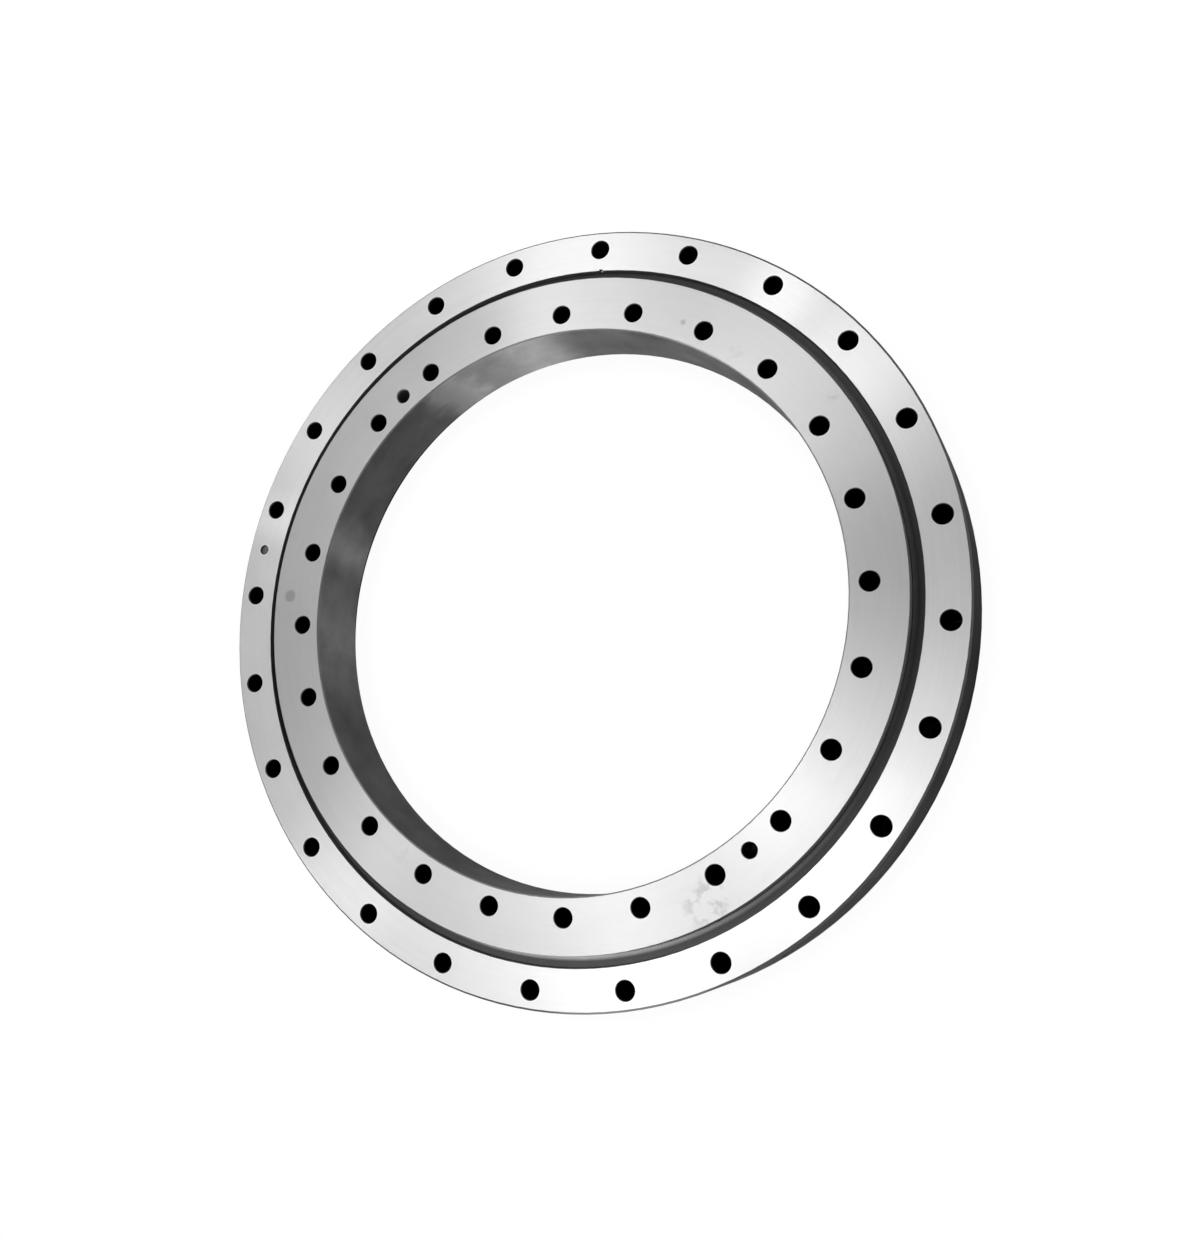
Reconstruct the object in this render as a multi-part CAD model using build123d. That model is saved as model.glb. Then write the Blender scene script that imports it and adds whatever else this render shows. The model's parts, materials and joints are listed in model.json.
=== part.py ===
from build123d import *
from math import cos, radians, sin, sqrt, tan
import os

# Single-row four-point-contact ball slewing ring without teeth.
# Millimetres. +Z is the axis of rotation, and z = 0 is the lower face of the outer ring.

# Rings
OUTER_DIA = 732.0
BORE_DIA = 528.0
RING_HEIGHT = 70.0
RING_STEP = 10.0            # the inner ring stands this much higher than the outer ring
OUTER_LAND_RADIUS = 316.0   # the outer ring's inside, above and below its raceway
INNER_LAND_RADIUS = 315.5   # the inner ring's outside, above and below its raceway
OUTER_RIM_CHAMFER = 2.0
BORE_CHAMFER = 1.2
EDGE_BREAK = 0.4

# Balls, spacers and raceway
PITCH_RADIUS = 315.0
BALL_RADIUS = 15.0
BALL_COUNT = 52
RACE_CLEARANCE = 0.3        # between a ball and each of its four contact lines
RACE_ARC_RADIUS = 15.6      # radius of each half of the gothic-arch raceway
SPACER_RADIUS = 11.0
SPACER_BORE_RADIUS = 3.0
SPACER_CLEARANCE = 0.3

# Bolt holes
BOLT_COUNT = 24
BOLT_HOLE_RADIUS = 9.0
OUTER_BOLT_RADIUS = 348.0
INNER_BOLT_RADIUS = 282.0
OUTER_BOLT_START = 7.5      # degrees from +X
INNER_BOLT_START = -1.5     # degrees from +X, where the inner ring stands at rest
BOLT_HOLE_CHAMFER = 0.5

# Tapped holes for lifting eyes in the inner ring, at their core size
LIFTING_ANGLES = (141.0, 321.0)
LIFTING_CORE_RADIUS = 7.0
LIFTING_DEPTH = 32.0
LIFTING_CHAMFER = 0.6
DRILL_POINT_ANGLE = 59.0    # half the angle of a drill's point, in degrees

# Ball filling hole with its plug and taper pin
PLUG_ANGLE = 179.6
PLUG_HOLE_RADIUS = 18.0
PLUG_FIT = 0.05             # radial play of the plug in its hole
PLUG_RECESS = 0.8           # below the outer rim
PLUG_EDGE_CHAMFER = 1.0
PULLER_CORE_RADIUS = 4.25
PULLER_DEPTH = 10.0
PIN_TOP_RADIUS = 5.0
PIN_TAPER = 1 / 50          # change of diameter over length
PIN_RECESS = 3.0            # below the outer ring's upper face
PIN_HOLE_DEPTH = 58.0
PIN_END_GAP = 1.0
PIN_CHAMFER = 0.5
PIN_FIT = 0.03

# Grease ports in the outer rim
PORT_ANGLES = (45.0, 135.0, 225.0, 315.0)
PORT_THREAD_RADIUS = 4.6
PORT_THREAD_DEPTH = 14.0
PORT_DRILLING_RADIUS = 2.5
PORT_SPOTFACE_RADIUS = 7.0
PORT_SPOTFACE_DEPTH = 1.0
PORT_PLUG_RADIUS = 4.5
PORT_PLUG_LENGTH = 10.0
PORT_PLUG_CHAMFER = 0.6
PORT_SOCKET_FLATS = 5.0
PORT_SOCKET_DEPTH = 5.0

# Seal seats and seals
SEAT_DEPTH = 11.0
SEAT_WIDTH = 10.5
SEAT_GROOVE_HEIGHT = 2.6
SEAT_GROOVE_DEPTH = 2.0
SEAL_BASE_THICKNESS = 5.0
SEAL_BASE_WIDTH = 5.6
SEAL_PLAY = 0.1             # between a seal and the seat that holds it
SEAL_CORNER = 0.5
SEAL_RIB_ROOT = 2.0         # height of the rib that holds the seal in its seat's groove
SEAL_RIB_TIP = 1.4
SEAL_LIP_GAP = 0.3          # between the lip's edge and the ring that it wipes
SEAL_LIP_RISE = 0.5
SEAL_LIP_EDGE = 0.3
SEAL_LIP_THICKNESS = 1.6
SPLICE_GAP = 0.3
SPLICE_ANGLE = 97.0

# Notch in the edge of the upper seal's seat, beside the splice, for lifting the seal out
NOTCH_WIDTH = 3.5
NOTCH_REACH = 1.6           # past the seat's wall
NOTCH_DEPTH = 3.0

# Heights and radii that follow
OUTER_RADIUS = OUTER_DIA / 2
BORE_RADIUS = BORE_DIA / 2
OUTER_TOP = RING_HEIGHT
INNER_BOTTOM = RING_STEP
INNER_TOP = RING_STEP + RING_HEIGHT
BALL_HEIGHT = INNER_TOP / 2
BALL_STEP = 360 / BALL_COUNT
OVERCUT = 1.0               # how far a cutting shape runs past the face that it opens


def polar(radius, angle, z=0.0):
    """A point at a radius and an angle about the axis of rotation."""
    return (radius * cos(radians(angle)), radius * sin(radians(angle)), z)


def revolved(points):
    """A ring whose section is a closed outline of (radius, z) points."""
    outline = Polyline(*points, close=True)
    return revolve(Plane.XZ * make_face(outline), axis=Axis.Z)


def end_edges(rod):
    """The round edges at both ends of a rod."""
    return rod.edges().filter_by(GeomType.CIRCLE)


def radial(angle, radius, shape):
    """A shape built along +Z, laid on the ball plane so that +Z points outwards at an angle."""
    place = Plane(origin=polar(radius, angle, BALL_HEIGHT), z_dir=polar(1.0, angle))
    return place * shape


def mouth_chamfer(radius, chamfer_size, z, facing):
    """The cone that breaks a vertical hole's edge in the face at z. facing is 1 upwards, -1 downwards."""
    height = chamfer_size + OVERCUT
    wide = radius + height
    middle = z + facing * (OVERCUT - height / 2)
    if facing > 0:
        return Pos(0, 0, middle) * Cone(radius, wide, height)
    return Pos(0, 0, middle) * Cone(wide, radius, height)


def bolt_hole(bottom, top):
    """The cutting shape of one through hole between two faces, both edges broken."""
    length = top - bottom + 2 * OVERCUT
    shape = Pos(0, 0, (top + bottom) / 2) * Cylinder(BOLT_HOLE_RADIUS, length)
    shape += mouth_chamfer(BOLT_HOLE_RADIUS, BOLT_HOLE_CHAMFER, top, 1)
    shape += mouth_chamfer(BOLT_HOLE_RADIUS, BOLT_HOLE_CHAMFER, bottom, -1)
    return shape


def bolt_circle(radius, start, bottom, top):
    """The cutting shapes of one ring's bolt holes."""
    hole = bolt_hole(bottom, top)
    angles = [start + 360 / BOLT_COUNT * i for i in range(BOLT_COUNT)]
    return [Pos(*polar(radius, angle)) * hole for angle in angles]


def raceway():
    """The gothic-arch channel that the balls run in, half in each ring."""
    shift = RACE_ARC_RADIUS - BALL_RADIUS - RACE_CLEARANCE
    side = shift * cos(radians(45))
    apex = sqrt(RACE_ARC_RADIUS**2 - side**2) - side
    contact = (BALL_RADIUS + RACE_CLEARANCE) * cos(radians(45))
    corners = [(apex, 0), (0, apex), (-apex, 0), (0, -apex)]
    contacts = [(contact, contact), (-contact, contact), (-contact, -contact), (contact, -contact)]
    arcs = [
        ThreePointArc(corners[i], contacts[i], corners[(i + 1) % len(corners)])
        for i in range(len(corners))
    ]
    section = Pos(PITCH_RADIUS, BALL_HEIGHT) * make_face(arcs)
    return revolve(Plane.XZ * section, axis=Axis.Z)


def outer_blank():
    """The outer ring as turned, with the seat of the upper seal, before its raceway and holes."""
    seat_radius = OUTER_LAND_RADIUS + SEAT_WIDTH
    seat_floor = OUTER_TOP - SEAT_DEPTH
    groove_top = seat_floor + SEAT_GROOVE_HEIGHT
    groove_radius = seat_radius + SEAT_GROOVE_DEPTH
    return revolved([
        (OUTER_LAND_RADIUS + EDGE_BREAK, 0),
        (OUTER_RADIUS - OUTER_RIM_CHAMFER, 0),
        (OUTER_RADIUS, OUTER_RIM_CHAMFER),
        (OUTER_RADIUS, OUTER_TOP - OUTER_RIM_CHAMFER),
        (OUTER_RADIUS - OUTER_RIM_CHAMFER, OUTER_TOP),
        (seat_radius + EDGE_BREAK, OUTER_TOP),
        (seat_radius, OUTER_TOP - EDGE_BREAK),
        (seat_radius, groove_top),
        (groove_radius, groove_top),
        (groove_radius, seat_floor),
        (OUTER_LAND_RADIUS + EDGE_BREAK, seat_floor),
        (OUTER_LAND_RADIUS, seat_floor - EDGE_BREAK),
        (OUTER_LAND_RADIUS, EDGE_BREAK),
    ])


def inner_blank():
    """The inner ring as turned, with the seat of the lower seal, before its raceway and holes."""
    seat_radius = INNER_LAND_RADIUS - SEAT_WIDTH
    seat_ceiling = INNER_BOTTOM + SEAT_DEPTH
    groove_bottom = seat_ceiling - SEAT_GROOVE_HEIGHT
    groove_radius = seat_radius - SEAT_GROOVE_DEPTH
    return revolved([
        (BORE_RADIUS, INNER_BOTTOM + BORE_CHAMFER),
        (BORE_RADIUS + BORE_CHAMFER, INNER_BOTTOM),
        (seat_radius - EDGE_BREAK, INNER_BOTTOM),
        (seat_radius, INNER_BOTTOM + EDGE_BREAK),
        (seat_radius, groove_bottom),
        (groove_radius, groove_bottom),
        (groove_radius, seat_ceiling),
        (INNER_LAND_RADIUS - EDGE_BREAK, seat_ceiling),
        (INNER_LAND_RADIUS, seat_ceiling + EDGE_BREAK),
        (INNER_LAND_RADIUS, INNER_TOP - EDGE_BREAK),
        (INNER_LAND_RADIUS - EDGE_BREAK, INNER_TOP),
        (BORE_RADIUS + BORE_CHAMFER, INNER_TOP),
        (BORE_RADIUS, INNER_TOP - BORE_CHAMFER),
    ])


def lifting_hole(angle):
    """The cutting shape of one blind tapped hole, with its drill point and broken edge."""
    point_height = LIFTING_CORE_RADIUS / tan(radians(DRILL_POINT_ANGLE))
    floor = INNER_TOP - LIFTING_DEPTH
    wall = LIFTING_DEPTH + OVERCUT
    shape = Pos(0, 0, floor + wall / 2) * Cylinder(LIFTING_CORE_RADIUS, wall)
    shape += Pos(0, 0, floor - point_height / 2) * Cone(0, LIFTING_CORE_RADIUS, point_height)
    shape += mouth_chamfer(LIFTING_CORE_RADIUS, LIFTING_CHAMFER, INNER_TOP, 1)
    return Pos(*polar(INNER_BOLT_RADIUS, angle)) * shape


def filling_hole():
    """The radial hole that the balls are filled through, from the raceway's middle to the rim."""
    length = OUTER_RADIUS - PITCH_RADIUS + OVERCUT
    shape = Pos(0, 0, length / 2) * Cylinder(PLUG_HOLE_RADIUS, length)
    return radial(PLUG_ANGLE, PITCH_RADIUS, shape)


def pin_cone(top, bottom, play):
    """The taper between two heights, at the pin's own place, widened all round by play."""
    below_top = OUTER_TOP - PIN_RECESS
    wide = PIN_TOP_RADIUS + (top - below_top) * PIN_TAPER / 2 + play
    narrow = PIN_TOP_RADIUS + (bottom - below_top) * PIN_TAPER / 2 + play
    cone = Pos(0, 0, (top + bottom) / 2) * Cone(narrow, wide, top - bottom)
    return Pos(*polar(OUTER_BOLT_RADIUS, PLUG_ANGLE)) * cone


def pin_hole():
    """The reamed hole of the taper pin, through the plug and blind at its lower end."""
    return pin_cone(OUTER_TOP + OVERCUT, OUTER_TOP - PIN_HOLE_DEPTH, PIN_FIT)


def grease_port(angle):
    """The cutting shape of one grease port: spot face, tapped part and drilling to the raceway."""
    drilling = OUTER_RADIUS - PITCH_RADIUS
    tapped = PORT_THREAD_DEPTH + OVERCUT
    spot = PORT_SPOTFACE_DEPTH + OVERCUT
    shape = Pos(0, 0, drilling / 2) * Cylinder(PORT_DRILLING_RADIUS, drilling)
    shape += Pos(0, 0, drilling - PORT_THREAD_DEPTH + tapped / 2) * Cylinder(PORT_THREAD_RADIUS, tapped)
    shape += Pos(0, 0, drilling - PORT_SPOTFACE_DEPTH + spot / 2) * Cylinder(PORT_SPOTFACE_RADIUS, spot)
    return radial(angle, PITCH_RADIUS, shape)


def seal_notch():
    """The cutting shape of the notch that a tool reaches the upper seal's end through."""
    seat_radius = OUTER_LAND_RADIUS + SEAT_WIDTH
    height = NOTCH_DEPTH + OVERCUT
    shape = Box(2 * NOTCH_REACH, NOTCH_WIDTH, height)
    middle = polar(seat_radius, SPLICE_ANGLE, OUTER_TOP - NOTCH_DEPTH + height / 2)
    return Pos(*middle) * Rot(0, 0, SPLICE_ANGLE) * shape


def outer_ring(channel):
    """The finished outer ring."""
    cuts = [channel, filling_hole(), pin_hole(), seal_notch()]
    cuts += bolt_circle(OUTER_BOLT_RADIUS, OUTER_BOLT_START, 0, OUTER_TOP)
    cuts += [grease_port(angle) for angle in PORT_ANGLES]
    return outer_blank() - cuts


def inner_ring(channel):
    """The finished inner ring."""
    cuts = [channel]
    cuts += bolt_circle(INNER_BOLT_RADIUS, INNER_BOLT_START, INNER_BOTTOM, INNER_TOP)
    cuts += [lifting_hole(angle) for angle in LIFTING_ANGLES]
    return inner_blank() - cuts


def loading_plug(channel):
    """The plug that closes the filling hole: its inner end carries on the raceway."""
    length = OUTER_RADIUS - PLUG_RECESS - PITCH_RADIUS
    rod = Pos(0, 0, length / 2) * Cylinder(PLUG_HOLE_RADIUS - PLUG_FIT, length)
    rod = chamfer(rod.edges().group_by(Axis.Z)[-1], PLUG_EDGE_CHAMFER)
    rod -= Pos(0, 0, length - PULLER_DEPTH / 2) * Cylinder(PULLER_CORE_RADIUS, PULLER_DEPTH)
    inside = Pos(0, 0, BALL_HEIGHT) * Cylinder(OUTER_LAND_RADIUS, RING_HEIGHT)
    return radial(PLUG_ANGLE, PITCH_RADIUS, rod) - [inside, channel, pin_hole()]


def plug_taper_pin():
    """The taper pin that locks the plug."""
    bottom = OUTER_TOP - PIN_HOLE_DEPTH + PIN_END_GAP
    pin = pin_cone(OUTER_TOP - PIN_RECESS, bottom, 0)
    return chamfer(end_edges(pin), PIN_CHAMFER)


def grease_port_plug(angle):
    """One socket set screw in its port, its outer end below the spot face."""
    rod = Pos(0, 0, PORT_PLUG_LENGTH / 2) * Cylinder(PORT_PLUG_RADIUS, PORT_PLUG_LENGTH)
    screw = chamfer(end_edges(rod), PORT_PLUG_CHAMFER)
    hexagon = RegularPolygon(PORT_SOCKET_FLATS / 2, 6, major_radius=False)
    socket = extrude(Pos(0, 0, PORT_PLUG_LENGTH - PORT_SOCKET_DEPTH) * hexagon, PORT_SOCKET_DEPTH)
    start = OUTER_RADIUS - PORT_SPOTFACE_DEPTH - PORT_PLUG_LENGTH
    return radial(angle, start, screw - socket)


def seal_section(wall, side, floor, up):
    """A lip seal's outline as (radius, z) points.

    wall is the radius of the seat's wall and side is 1 where the seal's body lies inside it, or -1 outside.
    floor is the height of the seat's floor and up is 1 where the seat opens upwards, or -1 downwards.
    """
    lip_edge = SEAT_WIDTH + OUTER_LAND_RADIUS - INNER_LAND_RADIUS - SEAL_LIP_GAP
    lip_top = SEAL_BASE_THICKNESS + SEAL_LIP_RISE
    rib_middle = SEAT_GROOVE_HEIGHT / 2
    rib_end = SEAL_PLAY - SEAT_GROOVE_DEPTH
    outline = [
        (SEAL_PLAY, SEAL_PLAY),
        (SEAL_PLAY, rib_middle - SEAL_RIB_ROOT / 2),
        (rib_end, rib_middle - SEAL_RIB_TIP / 2),
        (rib_end, rib_middle + SEAL_RIB_TIP / 2),
        (SEAL_PLAY, rib_middle + SEAL_RIB_ROOT / 2),
        (SEAL_PLAY, SEAL_BASE_THICKNESS - SEAL_CORNER),
        (SEAL_PLAY + SEAL_CORNER, SEAL_BASE_THICKNESS),
        (lip_edge - SEAL_LIP_EDGE, lip_top),
        (lip_edge, lip_top - SEAL_LIP_EDGE),
        (lip_edge, lip_top - SEAL_LIP_THICKNESS),
        (SEAL_BASE_WIDTH + SEAL_LIP_THICKNESS, SEAL_BASE_THICKNESS - SEAL_LIP_THICKNESS),
        (SEAL_BASE_WIDTH, SEAL_PLAY),
    ]
    return [(wall - side * x, floor + up * z) for x, z in outline]


def spliced(seal, radius):
    """A seal as it is fitted: a strip bent into a ring, its two ends meeting at a narrow splice."""
    width = 4 * SEAT_WIDTH
    cut = Pos(radius, 0, BALL_HEIGHT) * Box(width, SPLICE_GAP, INNER_TOP)
    return seal - Rot(0, 0, SPLICE_ANGLE) * cut


def upper_seal():
    """The seal that the outer ring holds. Its lip wipes the inner ring."""
    wall = OUTER_LAND_RADIUS + SEAT_WIDTH
    return spliced(revolved(seal_section(wall, 1, OUTER_TOP - SEAT_DEPTH, 1)), wall)


def lower_seal():
    """The seal that the inner ring holds. Its lip wipes the outer ring."""
    wall = INNER_LAND_RADIUS - SEAT_WIDTH
    return spliced(revolved(seal_section(wall, -1, INNER_BOTTOM + SEAT_DEPTH, -1)), wall)


def ball(index):
    """One ball of the row."""
    return Pos(*polar(PITCH_RADIUS, BALL_STEP * index, BALL_HEIGHT)) * Sphere(BALL_RADIUS)


def spacer(index):
    """One spacer: a short bored cylinder whose hollow ends hold the two balls beside it."""
    angle = BALL_STEP * (index + 0.5)
    half_chord = PITCH_RADIUS * sin(radians(BALL_STEP / 2))
    hollow = Sphere(BALL_RADIUS + SPACER_CLEARANCE)
    rod = Cylinder(SPACER_RADIUS, 2 * half_chord) - Cylinder(SPACER_BORE_RADIUS, 2 * half_chord)
    rod -= [Pos(0, 0, half_chord) * hollow, Pos(0, 0, -half_chord) * hollow]
    middle = polar(PITCH_RADIUS * cos(radians(BALL_STEP / 2)), angle, BALL_HEIGHT)
    return Plane(origin=middle, z_dir=polar(1.0, angle + 90)) * rod


def named_nodes():
    """Every node of the bearing by name."""
    channel = raceway()
    nodes = {
        "outer_ring": outer_ring(channel),
        "inner_ring": inner_ring(channel),
        "upper_seal": upper_seal(),
        "lower_seal": lower_seal(),
        "loading_plug": loading_plug(channel),
        "plug_taper_pin": plug_taper_pin(),
        "grease_port_plugs": Compound([grease_port_plug(angle) for angle in PORT_ANGLES]),
        "ball_spacers": Compound([spacer(i) for i in range(BALL_COUNT)]),
    }
    for i in range(BALL_COUNT):
        nodes[f"ball_{i + 1:02d}"] = ball(i)
    return nodes


os.makedirs("parts", exist_ok=True)
for name, shape in named_nodes().items():
    export_step(shape, f"parts/{name}.step")
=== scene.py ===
import json
import math

import bpy
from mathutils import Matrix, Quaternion, Vector


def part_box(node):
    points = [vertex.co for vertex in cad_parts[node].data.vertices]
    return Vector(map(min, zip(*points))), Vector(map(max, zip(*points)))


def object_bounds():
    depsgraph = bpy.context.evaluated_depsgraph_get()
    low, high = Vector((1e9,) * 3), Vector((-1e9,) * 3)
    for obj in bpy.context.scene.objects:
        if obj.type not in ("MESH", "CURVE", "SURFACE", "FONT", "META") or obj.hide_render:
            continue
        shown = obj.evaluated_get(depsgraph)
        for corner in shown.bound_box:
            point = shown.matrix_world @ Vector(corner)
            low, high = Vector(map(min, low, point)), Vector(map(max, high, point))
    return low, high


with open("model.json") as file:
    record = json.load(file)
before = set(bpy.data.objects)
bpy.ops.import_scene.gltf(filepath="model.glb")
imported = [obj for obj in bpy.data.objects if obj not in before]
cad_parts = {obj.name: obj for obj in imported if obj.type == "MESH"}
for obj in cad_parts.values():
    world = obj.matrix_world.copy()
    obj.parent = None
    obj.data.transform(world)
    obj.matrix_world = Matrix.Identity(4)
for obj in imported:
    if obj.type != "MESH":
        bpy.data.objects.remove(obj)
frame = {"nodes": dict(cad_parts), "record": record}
CAD_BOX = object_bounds()

# Sizes below are in metres and in the CAD frame: +Z is the bearing's axis and z = 0 its lower face.
RECORD = frame["record"]
MOUNTS = {mount["name"]: mount for mount in RECORD["mounts"]}
BALL_NODES = sorted(name for name in frame["nodes"] if name.startswith("ball_") and name[5:].isdigit())

# The camera's place, what it looks at, and how far it is turned about its own line of sight
CAMERA_PLACE = (0.5025, -0.1000, 1.1730)
CAMERA_AIM = (0.0408, -0.0076, 0.0800)
CAMERA_ROLL = math.radians(-67.4)
CAMERA_LENS = 38.0

# How sharply one grey ends and the next begins
EDGE = 0.0002

# Greys of the rings' faces and chamfers; the chamfers are darker than the faces, as painted shade along the
# edges
OUTER_FACE = 0.74
INNER_FACE = 0.56
OUTER_CHAMFER_PAINTED_SHADE = 0.12
INNER_CHAMFER_PAINTED_SHADE = 0.30

# How far a turned surface draws its highlights out, and which way: a quarter turn from the lathe's lines
TURNED = 0.85
CROSSWISE = 0.25
SEAL_TURNED = 0.8

# How level a surface is, from 0 for a wall to 1 for a face: where a face, a chamfer and a wall begin and end
FACE_LEVEL = (0.80, 0.95)
CHAMFER_LEVEL = (0.4, 0.6)
UPRIGHT_LEVEL = (0.3, 0.6)

# Noises of the steel: their scales, and how far each one moves the grey up and down
LINES_ACROSS = 2600.0
LINES_ROUND = 3.0
LINE_DEPTH = 0.08
BANDS_ACROSS = 240.0
BANDS_ROUND = 2.0
BAND_DEPTH = 0.05
CLOUD_SCALE = 9.0
CLOUD_DEPTH = 0.07
MOTTLE_SCALE = 28.0
MOTTLE_DEPTH = 0.5
WANDER_SCALE = 22.0

# Roughness of the steel, and how far its bands move it
STEEL_ROUGHNESS = (0.30, 0.38)
BAND_ROUGHNESS = 0.03

# Height in metres of the relief of the lathe's lines and of the seal's grain
LINE_RELIEF = 0.00002
GRAIN_RELIEF = 0.00006

# Holes: angles in degrees, the radius of the pin's hole, and the greys deep inside a hole and at its mouth,
# which are painted shade deep inside and painted light at the mouth
OUTER_FIRST_BOLT = 7.5
INNER_FIRST_BOLT = -1.5
LIFTING_FIRST = 141.0
PIN_ANGLE = 179.6
PIN_HOLE = 0.0052
BOLT_HOLE_PAINTED_SHADE = (0.006, 0.30)
FIRST_LIFTING_PAINTED_LIGHT_AND_SHADE = (0.18, 0.80)
SECOND_LIFTING_PAINTED_SHADE = (0.03, 0.10)
PIN_RECESS_PAINTED_SHADE = (0.25, 0.25)
HOLE_MOUTH = 0.003
HOLE_ROUGHNESS = 0.5

# A painted highlight round a hole's mouth: its width and its gain
PAINTED_RIM_HIGHLIGHT = 0.0018
PAINTED_RIM_HIGHLIGHT_GAIN = 1.15

# How far below the face a surface must lie to count as a wall
SUNK = 0.0005

# The shade at the foot of a wall: how far up it reaches, and what it leaves of the grey
FOOT = 0.013
FOOT_SHADE = 0.35

# How far the edges of the sectors on a wall wander, in degrees
RAGGED = 5.0

# Lighter and darker sectors: on the faces partly wiping marks and partly painted highlights and painted
# shade, on the bore painted reflections, on the outer wall painted shade, and on the seal a painted sheen;
# middle and half width in degrees, gain
OUTER_FACE_WIPES_AND_PAINTED_LIGHT = ((46, 13, 0.10), (59, 6, -0.06), (66, 10, 0.18), (162, 27, 0.19), (174, 7, 0.18))
INNER_FACE_WIPES_AND_PAINTED_LIGHT = ((50, 21, -0.06), (188, 75, -0.12), (109, 15, 0.10))
BORE_PAINTED_REFLECTIONS = ((80, 21, 0.5), (94, 13, 0.5), (112, 12, 0.4), (133, 9, 2.0), (176, 9, 0.9), (197, 20, 0.8))
RIM_PAINTED_SHADE = ((2, 42, -0.50),)
SEAL_PAINTED_SHEEN = ((283, 80, 3.5),)

# The seal's rubber, the radii between which the painted light in its inner corner ends, and how much lighter
# that painted light makes it, against the shade of the inner ring's wall
RUBBER = 0.022
CORNER_LIGHT_FROM = 0.3165
CORNER_LIGHT_TO = 0.3210
CORNER_LIGHT_GAIN = 15.0

# The inner ring's wall above the seal: the radii that it lies between, and how dull it is
STEP_WALL = (0.3110, 0.3170)
DULL = 0.75

# Walls by radius: from, to, grey and sectors; the greys are painted shade, darker than the faces, and the
# sectors are painted reflections and painted shade
OUTER_WALLS = ((0.3130, 0.3305, 0.35, ()), (0.3580, 0.3680, 0.30, RIM_PAINTED_SHADE))
INNER_WALLS = ((0.2600, 0.2655, 0.40, BORE_PAINTED_REFLECTIONS), (*STEP_WALL, 0.25, ()))

# Stains on the inner ring's face: radius, angle, size, softness, depth and speckle
INNER_MARKS = (
    (0.2990, 309.8, 0.010, 0.020, 0.26, 90.0),
    (0.2991, 187.65, 0.0045, 0.003, 0.30, 0.0),
    (0.2830, 78.05, 0.0010, 0.003, 0.30, 0.0),
    (0.3067, 46.50, 0.0020, 0.006, 0.16, 220.0),
    (0.2776, 65.70, 0.0030, 0.010, 0.10, 220.0),
    (0.2776, 248.2, 0.0040, 0.012, 0.10, 150.0),
)

# Floor: how wide and how light the painted shadow is where the rings meet it, and how far in under them it
# is painted black as shade
FLOOR_SIZE = 6.0
CONTACT_SHADOW = 0.02
CONTACT_LIGHT = 0.97
COVERED_FROM = 0.006

BACKDROP_RADIUS = 9.0

# The room's light from below and above, and how far past the horizon one passes into the other
ROOM_BELOW = 0.0
ROOM_ABOVE = 0.06
HORIZON_BLUR = 0.08

# The pale wall: its light, and the heights (sine of the elevation) between which it fades
ROOM_WALL = 0.80
WALL_FROM = 0.30
WALL_TO = 0.60

# Soft boxes, all at one distance, in rows: elevation and azimuths in degrees, size in metres, watts each
SOFTBOX_DISTANCE = 2.5
LIGHT_ROWS = (
    (80, (180, 225), 0.5, 3.2),
    (66, (120, 150, 180, 210, 240), 0.5, 2.4),
    (48, (130,), 0.5, 1.8),
    (28, (220,), 0.5, 5.0),
    (-18, (275,), 1.2, 18.0),
)


def mount_radius(name):
    """The radius in metres of a bolt circle or a bore in the record."""
    dims = MOUNTS[name]["dims"]
    if "pcd_mm" in dims:
        return dims["pcd_mm"] / 2000
    return dims["r_mm"] / 1000


def hole_radius(name):
    """The radius in metres of the holes of a bolt pattern in the record."""
    return MOUNTS[name]["dims"]["hole_r_mm"] / 1000


def add_node(tree, kind, inputs=None, **settings):
    """A new node with these settings. An input is a number, a colour or another node's output."""
    node = tree.nodes.new(kind)
    for key, value in settings.items():
        setattr(node, key, value)
    for key, value in (inputs or {}).items():
        if isinstance(value, bpy.types.NodeSocket):
            tree.links.new(value, node.inputs[key])
        else:
            node.inputs[key].default_value = value
    return node


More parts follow.
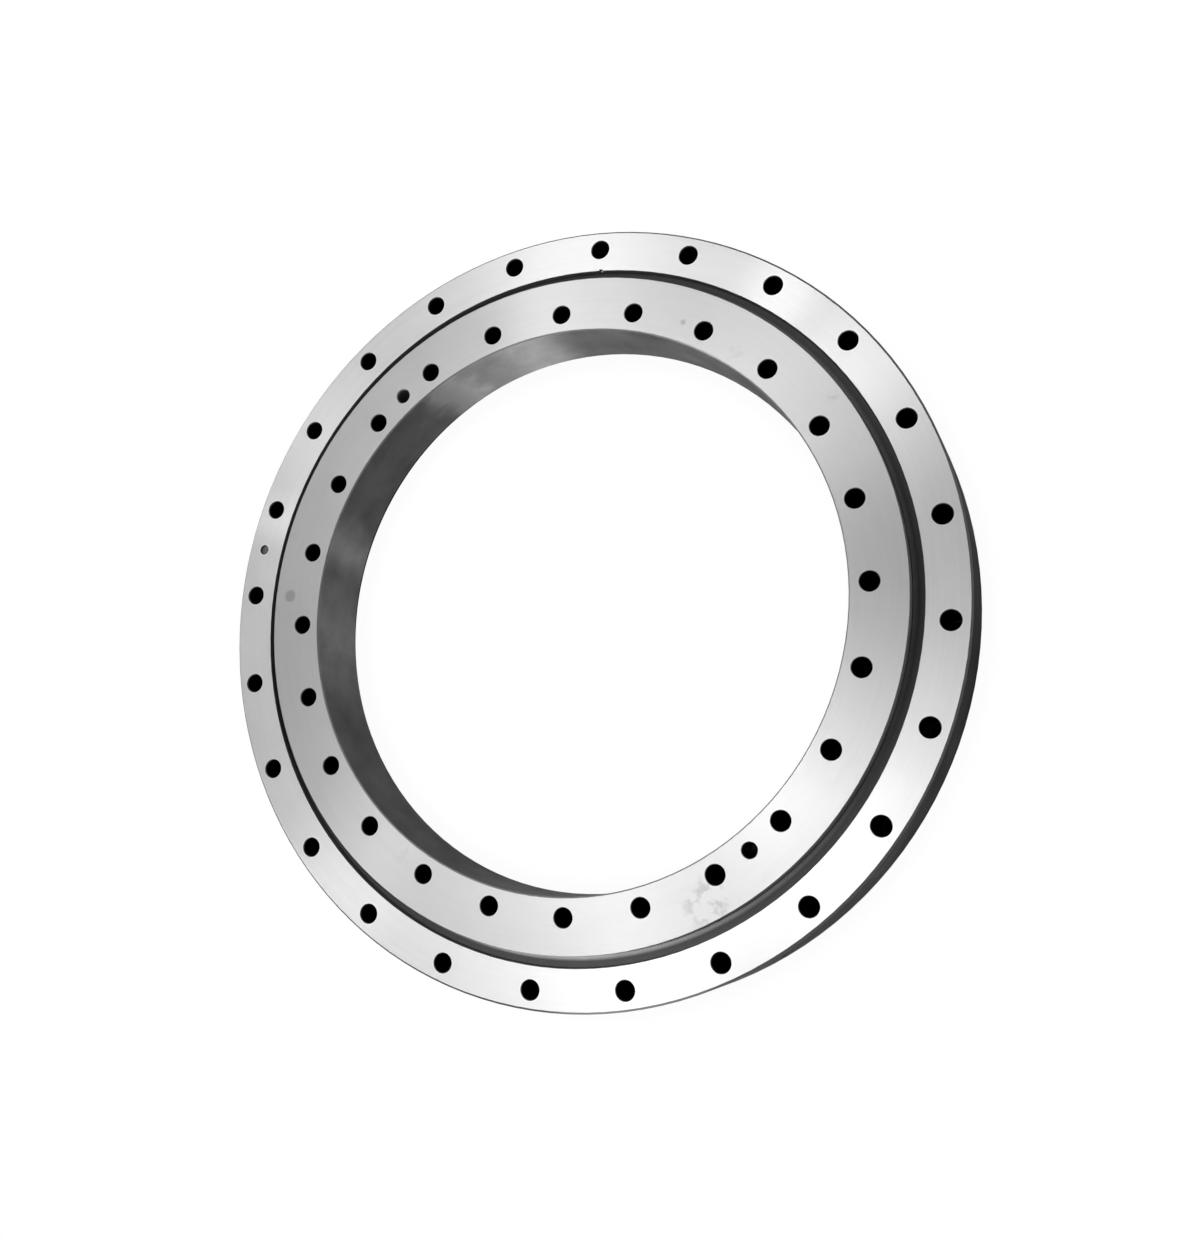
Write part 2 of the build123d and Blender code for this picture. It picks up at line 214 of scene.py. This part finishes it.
class Shader:
    """One material's node tree. Most methods add nodes and return the output that they make."""

    def __init__(self, name):
        self.material = bpy.data.materials.new(name)
        self.material.use_nodes = True
        self.tree = self.material.node_tree
        self.tree.nodes.clear()

    def add(self, kind, inputs=None, **settings):
        return add_node(self.tree, kind, inputs, **settings)

    def math(self, operation, first, second=0.0):
        return self.add("ShaderNodeMath", {0: first, 1: second}, operation=operation).outputs[0]

    def smooth(self, value, low, high):
        """0 where value is below low, 1 where it is above high, with a soft step between."""
        inputs = {"Value": value, "From Min": low, "From Max": high}
        node = self.add("ShaderNodeMapRange", inputs, interpolation_type="SMOOTHSTEP", clamp=True)
        return node.outputs["Result"]

    def spread(self, value, low, high):
        """value, which runs from 0 to 1, stretched to run from low to high."""
        inputs = {"Value": value, "To Min": low, "To Max": high}
        return self.add("ShaderNodeMapRange", inputs).outputs["Result"]

    def vary(self, value, noise, depth):
        """value, moved up and down by a noise, by as much as depth of it."""
        return self.math("MULTIPLY", value, self.spread(noise, 1.0 - depth, 1.0 + depth))

    def below(self, value, low, high):
        """1 where value is below low, 0 where it is above high, with a soft step between."""
        return self.math("SUBTRACT", 1.0, self.smooth(value, low, high))

    def between(self, value, low, high):
        """1 where value lies from low to high, 0 elsewhere."""
        above_low = self.smooth(value, low - EDGE, low)
        below_high = self.below(value, high, high + EDGE)
        return self.math("MULTIPLY", above_low, below_high)

    def vector(self, x, y, z):
        return self.add("ShaderNodeCombineXYZ", {0: x, 1: y, 2: z}).outputs[0]

    def noise(self, place, scale, detail=3.0, roughness=0.55):
        inputs = {"Vector": place, "Scale": scale, "Detail": detail, "Roughness": roughness}
        return self.add("ShaderNodeTexNoise", inputs).outputs["Fac"]

    def either(self, *masks):
        """The largest of several masks."""
        result = masks[0]
        for mask in masks[1:]:
            result = self.math("MAXIMUM", result, mask)
        return result

    def mix(self, mask, first, second):
        """first where the mask is 0, and second where it is 1, for numbers."""
        inputs = {0: mask, 2: first, 3: second}
        return self.add("ShaderNodeMix", inputs, data_type="FLOAT").outputs[0]

    def grey(self, value):
        """A colour with the same red, green and blue."""
        return self.add("ShaderNodeCombineColor", {0: value, 1: value, 2: value}).outputs[0]

    def bump(self, height, distance):
        inputs = {"Height": height, "Distance": distance, "Strength": 1.0}
        return self.add("ShaderNodeBump", inputs).outputs[0]

    def round_tangent(self):
        """The direction round the bearing's axis."""
        return self.add("ShaderNodeTangent", direction_type="RADIAL", axis="Z").outputs[0]

    def finish(self, **sockets):
        """The material, with a Principled shader whose sockets are numbers or outputs."""
        inputs = {key.replace("_", " "): value for key, value in sockets.items()}
        shader = self.add("ShaderNodeBsdfPrincipled", inputs)
        self.add("ShaderNodeOutputMaterial", {"Surface": shader.outputs[0]})
        return self.material

    def glow(self, strength):
        """The material, as a white that is as bright as strength says."""
        emission = self.add("ShaderNodeEmission", {"Strength": strength})
        self.add("ShaderNodeOutputMaterial", {"Surface": emission.outputs[0]})
        return self.material


class Round:
    """Where a point of a turned part is: its radius, its angle, its height and the way it faces."""

    def __init__(self, shader):
        self.shader = shader
        self.place = shader.add("ShaderNodeTexCoord").outputs["Object"]
        split = shader.add("ShaderNodeSeparateXYZ", {0: self.place})
        self.x, self.y, self.z = split.outputs
        flat = shader.vector(self.x, self.y, 0.0)
        self.radius = shader.add("ShaderNodeVectorMath", {0: flat}, operation="LENGTH").outputs["Value"]
        self.angle = shader.math("ARCTAN2", self.y, self.x)
        normal = shader.add("ShaderNodeNewGeometry").outputs["True Normal"]
        facing = shader.add("ShaderNodeSeparateXYZ", {0: normal})
        self.level = shader.math("ABSOLUTE", facing.outputs[2])

    def lathe_lines(self, across, along):
        """Noise drawn out round the axis, as a turning tool leaves it.

        across is its scale per metre over the lines, and along is its scale round the ring.
        """
        shader = self.shader
        unit_x = shader.math("COSINE", self.angle)
        unit_y = shader.math("SINE", self.angle)
        depth = shader.math("ADD", self.radius, self.z)
        place = shader.vector(
            shader.math("MULTIPLY", depth, across),
            shader.math("MULTIPLY", unit_x, along),
            shader.math("MULTIPLY", unit_y, along),
        )
        return shader.noise(place, 1.0, detail=4.0, roughness=0.65)

    def hole_distance(self, circle, count, start):
        """The distance from the nearest axis of a circle of holes, in metres."""
        shader = self.shader
        step = 2 * math.pi / count
        turned = shader.math("SUBTRACT", self.angle, start - step / 2 - 2 * math.pi)
        folded = shader.math("SUBTRACT", shader.math("FLOORED_MODULO", turned, step), step / 2)
        sideways = shader.math("MULTIPLY", self.radius, shader.math("SINE", folded))
        along = shader.math("MULTIPLY", self.radius, shader.math("COSINE", folded))
        outwards = shader.math("SUBTRACT", along, circle)
        sideways_squared = shader.math("MULTIPLY", sideways, sideways)
        outwards_squared = shader.math("MULTIPLY", outwards, outwards)
        return shader.math("POWER", shader.math("ADD", sideways_squared, outwards_squared), 0.5)

    def streaked(self, tone, streaks, ragged=0.0):
        """A grey with lighter or darker sectors: the middle and half width in degrees, and the gain.

        ragged is how far, in degrees, the edges of the sectors wander.
        """
        shader = self.shader
        angle = self.angle
        if ragged:
            wander = shader.spread(shader.noise(self.place, WANDER_SCALE, detail=4.0), -ragged, ragged)
            angle = shader.math("ADD", angle, shader.math("MULTIPLY", wander, math.radians(1.0)))
        value = tone
        for degrees, half_width, gain in streaks:
            along = shader.math("COSINE", shader.math("SUBTRACT", angle, math.radians(degrees)))
            edge = math.cos(math.radians(half_width))
            inside = shader.add("ShaderNodeMapRange", {"Value": along, "From Min": edge, "From Max": 1.0})
            sector = shader.math("POWER", inside.outputs["Result"], 3.0)
            value = shader.math("MULTIPLY", value, shader.spread(sector, 1.0, 1.0 + gain))
        return value

    def stained(self, radius, degrees, size, soft, depth, speckle):
        """What a stain leaves of the steel's grey, from 0 to 1. A speckle above 0 breaks the stain up."""
        shader = self.shader
        spot = self.spot(radius, degrees, size, soft)
        if speckle:
            broken = shader.smooth(shader.noise(self.place, speckle, detail=5.0, roughness=0.6), 0.47, 0.64)
            spot = shader.math("MULTIPLY", spot, broken)
        return shader.spread(spot, 1.0, 1.0 - depth)

    def spot(self, radius, degrees, size, soft):
        """1 within size of a point on the face, falling to 0 over soft."""
        shader = self.shader
        angle = math.radians(degrees)
        centre = shader.vector(radius * math.cos(angle), radius * math.sin(angle), 0.0)
        flat = shader.vector(self.x, self.y, 0.0)
        apart = shader.add("ShaderNodeVectorMath", {0: flat, 1: centre}, operation="DISTANCE")
        return shader.below(apart.outputs["Value"], size, size + soft)


def ring_steel(node, tone, edge_tone, face_streaks, walls, holes, marks=(), dull=None):
    """Turned steel of a ring.

    tone is the grey of its faces, and face_streaks are lighter or darker sectors of them: partly wiping
    marks, partly painted highlights and painted shade.
    edge_tone is the grey of its chamfers, darker than the faces as painted shade along the edges.
    walls are bands of radius where everything but the faces has a grey and sectors of its own: the greys are
    painted shade, and the sectors are painted reflections and painted shade.
    holes are circles of holes: radius of the circle, number, first angle, radius of a hole, and
    the greys of its inside and its mouth: painted shade inside and painted light at the mouth.
    marks are stains on the faces.
    dull is a band of radius whose walls are rough.
    """
    s = Shader(node + "_steel")
    at = Round(s)
    face = s.smooth(at.level, *FACE_LEVEL)
    off_face = s.math("SUBTRACT", 1.0, face)
    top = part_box(node)[1].z
    not_top = s.either(off_face, s.below(at.z, top - 2 * SUNK, top - SUNK))

    # The faces' sectors: partly wiping marks, partly painted highlights and painted shade
    value = at.streaked(tone, face_streaks)
    mottle = s.noise(at.place, MOTTLE_SCALE, detail=5.0, roughness=0.6)
    # Each wall's grey is painted shade, darker than the faces, and its sectors are painted reflections and
    # painted shade
    for low, high, wall_tone, wall_streaks in walls:
        band = s.between(at.radius, low, high)
        wall = at.streaked(wall_tone, wall_streaks, ragged=RAGGED)
        wall = s.vary(wall, mottle, MOTTLE_DEPTH)
        wall = s.math("MULTIPLY", wall, s.spread(s.smooth(at.z, 0.0, FOOT), FOOT_SHADE, 1.0))
        value = s.mix(s.math("MULTIPLY", band, not_top), value, wall)
    # Chamfers get a darker grey, as painted shade along the edges
    chamfer = s.math("MULTIPLY", off_face, s.smooth(at.level, *CHAMFER_LEVEL))
    value = s.mix(chamfer, value, edge_tone)

    lines = at.lathe_lines(LINES_ACROSS, LINES_ROUND)
    bands = at.lathe_lines(BANDS_ACROSS, BANDS_ROUND)
    clouds = s.noise(at.place, CLOUD_SCALE, detail=3.0)
    value = s.vary(value, lines, LINE_DEPTH)
    value = s.vary(value, bands, BAND_DEPTH)
    value = s.vary(value, clouds, CLOUD_DEPTH)
    for mark in marks:
        value = s.math("MULTIPLY", value, at.stained(*mark))

    upright = s.below(at.level, *UPRIGHT_LEVEL)
    inside = 0.0
    for circle, count, first, radius, tones in holes:
        from_axis = at.hole_distance(circle, count, math.radians(first))
        # A painted highlight round each hole's mouth on the face
        rim = s.math("MULTIPLY", face, s.below(from_axis, radius, radius + PAINTED_RIM_HIGHLIGHT))
        value = s.math("MULTIPLY", value, s.spread(rim, 1.0, PAINTED_RIM_HIGHLIGHT_GAIN))
        # Inside a hole the grey is painted shade, and at its mouth painted light
        hole = s.math("MULTIPLY", upright, s.below(from_axis, radius, radius + EDGE))
        value = s.mix(hole, value, s.mix(s.smooth(at.z, top - HOLE_MOUTH, top), *tones))
        inside = s.either(inside, hole)

    uneven = s.spread(bands, -BAND_ROUGHNESS, BAND_ROUGHNESS)
    roughness = s.math("ADD", s.spread(clouds, *STEEL_ROUGHNESS), uneven)
    if dull:
        dull_wall = s.math("MULTIPLY", s.between(at.radius, *dull), off_face)
        roughness = s.mix(dull_wall, roughness, DULL)
    return s.finish(
        Base_Color=s.grey(value),
        Metallic=1.0,
        Roughness=s.mix(inside, roughness, HOLE_ROUGHNESS),
        Anisotropic=TURNED,
        Anisotropic_Rotation=CROSSWISE,
        Tangent=s.round_tangent(),
        Normal=s.bump(lines, LINE_RELIEF),
    )


def rubber(name):
    """Black seal rubber, with a fine grain, a painted sheen on one side, and painted light in its inner
    corner where the inner ring's wall shades it.
    """
    s = Shader(name)
    at = Round(s)
    grain = s.noise(at.place, 900.0, detail=4.0)
    dust = s.noise(at.place, 30.0, detail=4.0)
    # A painted sheen on one side of the seal
    value = s.math("MULTIPLY", at.streaked(RUBBER, SEAL_PAINTED_SHEEN), s.spread(dust, 0.7, 1.3))
    # Painted light in the inner corner, against the shade of the inner ring's wall
    corner = s.below(at.radius, CORNER_LIGHT_FROM, CORNER_LIGHT_TO)
    value = s.math("MULTIPLY", value, s.spread(corner, 1.0, CORNER_LIGHT_GAIN))
    value = s.math("MULTIPLY", value, s.spread(grain, 0.5, 1.5))
    return s.finish(
        Base_Color=s.grey(value),
        Roughness=s.math("ADD", s.spread(dust, 0.30, 0.38), s.spread(grain, -0.05, 0.05)),
        Anisotropic=SEAL_TURNED,
        Anisotropic_Rotation=CROSSWISE,
        Tangent=s.round_tangent(),
        Normal=s.bump(grain, GRAIN_RELIEF),
    )


def plain_steel(name, low, high, roughness):
    """Steel of a small part, from one grey to another."""
    s = Shader(name)
    at = Round(s)
    clouds = s.noise(at.place, 120.0, detail=4.0)
    return s.finish(
        Base_Color=s.grey(s.spread(clouds, low, high)),
        Metallic=1.0,
        Roughness=s.spread(clouds, roughness - 0.05, roughness + 0.05),
        Normal=s.bump(clouds, 0.00005),
    )


def nylon(name):
    """Natural nylon."""
    s = Shader(name)
    at = Round(s)
    clouds = s.noise(at.place, 60.0)
    inputs = {0: clouds, 6: (0.72, 0.66, 0.52, 1), 7: (0.80, 0.75, 0.62, 1)}
    colour = s.add("ShaderNodeMix", inputs, data_type="RGBA")
    return s.finish(Base_Color=colour.outputs[2], Roughness=0.45, Normal=s.bump(clouds, 0.00005))


def dress(node, material):
    """Gives a CAD node its material."""
    mesh_object = frame["nodes"][node]
    mesh_object.data.materials.clear()
    mesh_object.data.materials.append(material)


def only_seen(stage_object):
    """Keeps a floor or backdrop out of reflections, bounced light and shadows."""
    stage_object.visible_glossy = False
    stage_object.visible_diffuse = False
    stage_object.visible_transmission = False
    stage_object.visible_shadow = False


def make_floor():
    """White paper under the bearing, with a painted shadow round the rings and painted shade where they
    cover it.
    """
    bpy.ops.mesh.primitive_plane_add(size=FLOOR_SIZE, location=(0, 0, CAD_BOX[0].z))
    floor = bpy.context.object
    floor.name = "floor"
    s = Shader("floor_paper")
    at = Round(s)
    bore = mount_radius("centre_bore")
    rim = CAD_BOX[1].x
    outside = s.smooth(at.radius, rim, rim + CONTACT_SHADOW)
    within = s.below(at.radius, bore - CONTACT_SHADOW, bore)
    light = s.mix(s.either(outside, within), CONTACT_LIGHT, 1.0)
    # Painted shade where the rings cover the floor
    covered = s.between(at.radius, bore + COVERED_FROM + EDGE, rim - COVERED_FROM)
    uncovered = s.math("SUBTRACT", 1.0, covered)
    floor.data.materials.append(s.glow(s.math("MULTIPLY", light, uncovered)))
    only_seen(floor)


def make_backdrop():
    """A white room round the floor, far outside the lights."""
    bpy.ops.mesh.primitive_uv_sphere_add(segments=48, ring_count=24, radius=BACKDROP_RADIUS)
    backdrop = bpy.context.object
    backdrop.name = "backdrop"
    backdrop.data.materials.append(Shader("backdrop_white").glow(1.0))
    only_seen(backdrop)


def make_camera():
    camera = bpy.data.objects.new("camera", bpy.data.cameras.new("camera"))
    bpy.context.scene.collection.objects.link(camera)
    camera.data.lens = CAMERA_LENS
    camera.location = CAMERA_PLACE
    line = Vector(CAMERA_AIM) - Vector(CAMERA_PLACE)
    camera.rotation_mode = "QUATERNION"
    camera.rotation_quaternion = line.to_track_quat("-Z", "Y") @ Quaternion((0, 0, 1), CAMERA_ROLL)
    bpy.context.scene.camera = camera


def softbox(name, azimuth, elevation, size, energy):
    """A square area light that faces the bearing, at an azimuth and an elevation in degrees."""
    light = bpy.data.lights.new(name, "AREA")
    light.size = size
    light.energy = energy
    lamp = bpy.data.objects.new(name, light)
    across = math.cos(math.radians(elevation))
    direction = Vector((
        across * math.cos(math.radians(azimuth)),
        across * math.sin(math.radians(azimuth)),
        math.sin(math.radians(elevation)),
    ))
    lamp.location = direction * SOFTBOX_DISTANCE
    lamp.rotation_mode = "QUATERNION"
    lamp.rotation_quaternion = (-direction).to_track_quat("-Z", "Y")
    lamp.visible_camera = False
    bpy.context.scene.collection.objects.link(lamp)


def make_world():
    """A room that is dim above and dark below, with a pale wall all round at the bearing's height."""
    world = bpy.data.worlds.new("studio")
    world.use_nodes = True
    tree = world.node_tree
    direction = add_node(tree, "ShaderNodeTexCoord").outputs["Generated"]
    height = add_node(tree, "ShaderNodeSeparateXYZ", {0: direction}).outputs[2]
    slope = add_node(tree, "ShaderNodeMath", {0: height}, operation="ABSOLUTE").outputs[0]
    room = blend_over(tree, height, (-HORIZON_BLUR, HORIZON_BLUR), (ROOM_BELOW, ROOM_ABOVE))
    wall = blend_over(tree, slope, (WALL_FROM, WALL_TO), (ROOM_WALL, 0.0))
    total = add_node(tree, "ShaderNodeMath", {0: room, 1: wall}, operation="ADD")
    background = tree.nodes["Background"]
    tree.links.new(total.outputs[0], background.inputs["Strength"])
    background.inputs["Color"].default_value = (1, 1, 1, 1)
    bpy.context.scene.world = world


def blend_over(tree, value, places, results):
    """A smooth blend from the first result to the second, as value passes between two places."""
    inputs = {
        "Value": value,
        "From Min": places[0],
        "From Max": places[1],
        "To Min": results[0],
        "To Max": results[1],
    }
    return add_node(tree, "ShaderNodeMapRange", inputs, interpolation_type="SMOOTHSTEP").outputs["Result"]


def make_light():
    make_world()
    for elevation, azimuths, size, energy in LIGHT_ROWS:
        for azimuth in azimuths:
            softbox(f"softbox_{azimuth}_{abs(elevation)}", azimuth, elevation, size, energy)
    bpy.context.scene.view_settings.view_transform = "Standard"


def bolt_holes(mount, first, tones):
    """A circle of holes: its radius, their number, first angle and radius, and their greys: painted shade
    inside and painted light at the mouth.
    """
    return mount_radius(mount), MOUNTS[mount]["dims"]["count"], first, hole_radius(mount), tones


def one_hole(mount, angle, tones):
    """One hole of a bolt pattern, as a circle with a single hole."""
    return mount_radius(mount), 1, angle, hole_radius(mount), tones


outer_holes = (
    bolt_holes("outer_bolts", OUTER_FIRST_BOLT, BOLT_HOLE_PAINTED_SHADE),
    (mount_radius("outer_bolts"), 1, PIN_ANGLE, PIN_HOLE, PIN_RECESS_PAINTED_SHADE),
)
inner_holes = (
    bolt_holes("inner_bolts", INNER_FIRST_BOLT, BOLT_HOLE_PAINTED_SHADE),
    one_hole("lifting_threads", LIFTING_FIRST, FIRST_LIFTING_PAINTED_LIGHT_AND_SHADE),
    one_hole("lifting_threads", LIFTING_FIRST + 180.0, SECOND_LIFTING_PAINTED_SHADE),
)
outer_steel = ring_steel(
    "outer_ring", OUTER_FACE, OUTER_CHAMFER_PAINTED_SHADE, OUTER_FACE_WIPES_AND_PAINTED_LIGHT, OUTER_WALLS, outer_holes
)
inner_steel = ring_steel(
    "inner_ring",
    INNER_FACE,
    INNER_CHAMFER_PAINTED_SHADE,
    INNER_FACE_WIPES_AND_PAINTED_LIGHT,
    INNER_WALLS,
    inner_holes,
    marks=INNER_MARKS,
    dull=STEP_WALL,
)
dress("outer_ring", outer_steel)
dress("inner_ring", inner_steel)
seal = rubber("seal_rubber")
dress("upper_seal", seal)
dress("lower_seal", seal)
dress("loading_plug", plain_steel("plug_steel", 0.35, 0.5, 0.35))
# The pin's and the port plugs' steels are darker, as painted shade in their recesses
dress("plug_taper_pin", plain_steel("pin_steel", 0.24, 0.36, 0.4))
dress("grease_port_plugs", plain_steel("screw_steel", 0.05, 0.12, 0.4))
dress("ball_spacers", nylon("spacer_nylon"))
ball_steel = plain_steel("ball_steel", 0.65, 0.75, 0.12)
for ball in BALL_NODES:
    dress(ball, ball_steel)

make_floor()
make_backdrop()
make_camera()
make_light()
